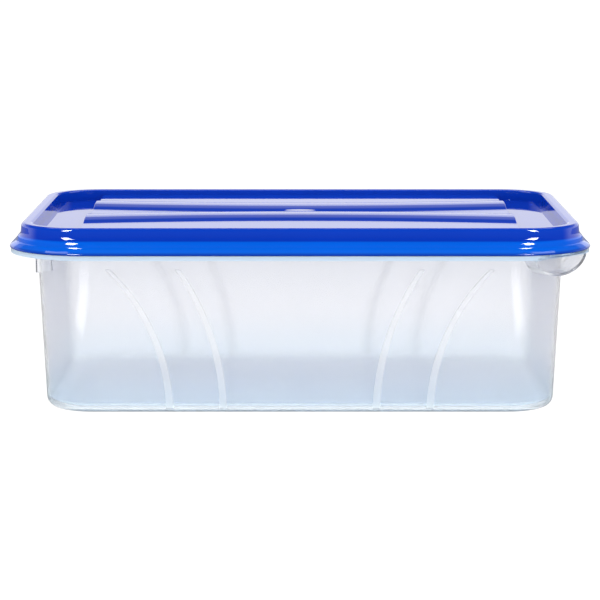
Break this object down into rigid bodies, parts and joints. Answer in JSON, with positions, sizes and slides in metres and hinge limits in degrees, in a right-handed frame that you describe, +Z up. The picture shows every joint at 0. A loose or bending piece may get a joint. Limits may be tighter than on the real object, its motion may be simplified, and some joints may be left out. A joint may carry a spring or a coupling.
{
  "type": "snap lid food container",
  "caption": "Rectangular clear plastic food box with drafted walls, curved stiffening ribs and a flange, closed by a blue snap lid with a channel rim and a ridged panel.",
  "frame": {"origin": "centre of the tub's footprint, on the surface that it stands on", "axes": "+X along the length, towards the end with the corner lug in front of it; the front is at -Y; +Z up"},
  "size_m": [0.283, 0.182, 0.0919],
  "materials": {
    "clear_polypropylene": "translucent clear polypropylene with a faint blue tint, glossy outside",
    "blue_polypropylene": "opaque glossy royal blue polypropylene"
  },
  "bodies": {
    "tub": {"tub": "clear_polypropylene"},
    "lid": {"lid": "blue_polypropylene"}
  },
  "joints": [
    {"name": "lid_lift", "type": "slide", "parent": "tub", "child": "lid", "axis": [0, 0, 1], "range_m": [0, 0.08]}
  ]
}
